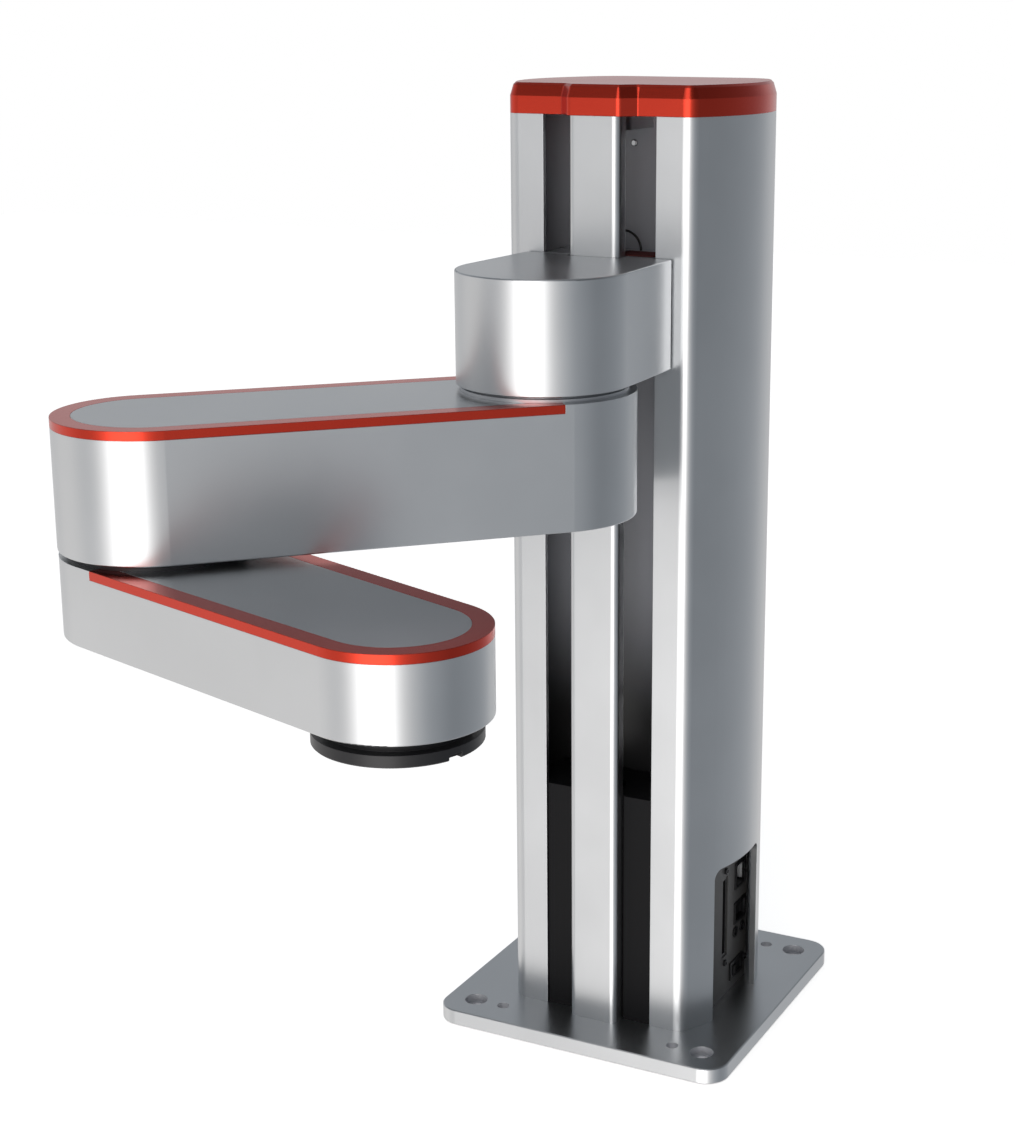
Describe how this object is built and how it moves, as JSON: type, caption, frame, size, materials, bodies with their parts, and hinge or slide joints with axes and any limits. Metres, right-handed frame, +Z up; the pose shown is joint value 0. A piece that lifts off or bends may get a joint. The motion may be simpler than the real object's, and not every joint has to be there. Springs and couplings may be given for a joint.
{
  "type": "scara robot",
  "caption": "Desktop SCARA robot: a D-section column with a screw-driven vertical axis carries jointed arms with inlaid red trims and a rotating tool flange.",
  "frame": {"origin": "centre of the base plate's underside", "axes": "+Z up along the column, -Y the arm's straight-ahead direction, +X to the right seen from the front, towards the connector side"},
  "size_m": [0.3072, 0.5005, 0.5961],
  "materials": {
    "satin_aluminium": "bead-blasted and clear anodised, satin",
    "machined_aluminium": "turned or milled, plain",
    "black_aluminium": "black anodised, satin",
    "red_anodised": "red anodised, smooth satin",
    "gloss_black_panel": "smooth black lacquer, glossy",
    "moulded_black": "fine-grained moulding",
    "black_sheet": "black powder coat",
    "ground_steel": "ground",
    "cast_steel": "plain",
    "bright_screw": "plated",
    "black_screw": "black oxide",
    "motor_black": "black lacquer",
    "motor_can": "plain",
    "belt_rubber": "matt",
    "board_green": "solder mask",
    "cable_black": "soft jacket",
    "connector_black": "moulded",
    "connector_shell": "plated shell"
  },
  "bodies": {
    "base": {"base_plate": "satin_aluminium", "column_shell": "satin_aluminium", "centre_strip": "satin_aluminium", "top_cap": "red_anodised", "top_plate": "red_anodised", "top_plate_screws": "bright_screw", "light_board": "board_green", "column_screws": "bright_screw", "guide_panel": "gloss_black_panel", "panel_screw": "bright_screw", "guide_rails": "ground_steel", "rail_screws": "black_screw", "drive_housing": "moulded_black", "lower_bearing": "machined_aluminium", "upper_bearing": "machined_aluminium", "z_motor": "motor_black", "motor_bracket": "machined_aluminium", "z_belt": "belt_rubber", "control_board": "board_green", "board_standoffs": "bright_screw", "io_panel": "black_sheet", "io_panel_screws": "black_screw", "io_connector": "connector_black", "jack_screws": "black_screw", "network_port": "connector_black", "square_port": "connector_black", "round_sockets": "connector_black", "switch_frame": "connector_black"},
    "lead_screw": {"ball_screw": "ground_steel", "screw_pulley": "machined_aluminium"},
    "z_rotor": {"motor_pulley": "machined_aluminium"},
    "switch_rocker": {"power_rocker": "connector_black"},
    "head": {"carriage": "machined_aluminium", "guide_blocks": "ground_steel", "ball_nut": "ground_steel", "head_housing": "satin_aluminium", "head_screws": "black_screw", "carriage_cable": "cable_black", "shoulder_reducer": "cast_steel", "shoulder_motor": "motor_can"},
    "upper_arm": {"shoulder_flange": "machined_aluminium", "upper_arm_housing": "satin_aluminium", "upper_arm_trim": "red_anodised", "upper_arm_cover": "satin_aluminium", "elbow_reducer": "cast_steel", "elbow_motor": "motor_can"},
    "forearm": {"elbow_flange": "machined_aluminium", "forearm_housing": "satin_aluminium", "forearm_trim": "red_anodised", "forearm_cover": "satin_aluminium", "tool_motor": "motor_can", "tool_belt": "belt_rubber", "tool_bearing": "ground_steel"},
    "tool_rotor": {"tool_motor_pulley": "machined_aluminium"},
    "tool": {"tool_shaft": "machined_aluminium", "tool_flange": "black_aluminium", "tool_flange_screws": "black_screw"}
  },
  "joints": [
    {"name": "z_slide", "type": "slide", "parent": "base", "child": "head", "axis": [0, 0, 1], "range_m": [-0.182, 0.058]},
    {"name": "screw_spin", "type": "hinge", "parent": "base", "child": "lead_screw", "pos_m": [0, -0.0445, 0.3], "axis": [0, 0, 1], "range_deg": [-1306, 4096]},
    {"name": "z_motor_spin", "type": "hinge", "parent": "base", "child": "z_rotor", "pos_m": [0, 0.024, 0.03], "axis": [0, 0, 1], "range_deg": [-1306, 4096]},
    {"name": "shoulder", "type": "hinge", "parent": "head", "child": "upper_arm", "pos_m": [0, -0.1325, 0.434], "axis": [0, 0, 1], "range_deg": [-45.3, 134.7]},
    {"name": "elbow", "type": "hinge", "parent": "upper_arm", "child": "forearm", "pos_m": [-0.15475, -0.28888, 0.3574], "axis": [0, 0, 1], "range_deg": [-233.9, 2.1]},
    {"name": "wrist", "type": "hinge", "parent": "forearm", "child": "tool", "pos_m": [0.03458, -0.35333, 0.31], "axis": [0, 0, 1], "range_deg": [-1080, 1080]},
    {"name": "tool_motor_spin", "type": "hinge", "parent": "forearm", "child": "tool_rotor", "pos_m": [-0.06481, -0.31949, 0.33], "axis": [0, 0, 1], "range_deg": [-3241, 3241]},
    {"name": "power_switch", "type": "hinge", "parent": "base", "child": "switch_rocker", "pos_m": [0.061, 0.01425, 0.0235], "axis": [0, 0, 1], "range_deg": [-18, 0]}
  ],
  "couplings": [
    {"joint": "screw_spin", "follows": "z_slide", "rad_per_m": -392.7},
    {"joint": "z_motor_spin", "follows": "z_slide", "rad_per_m": -392.7},
    {"joint": "tool_motor_spin", "follows": "wrist", "ratio": 3}
  ]
}
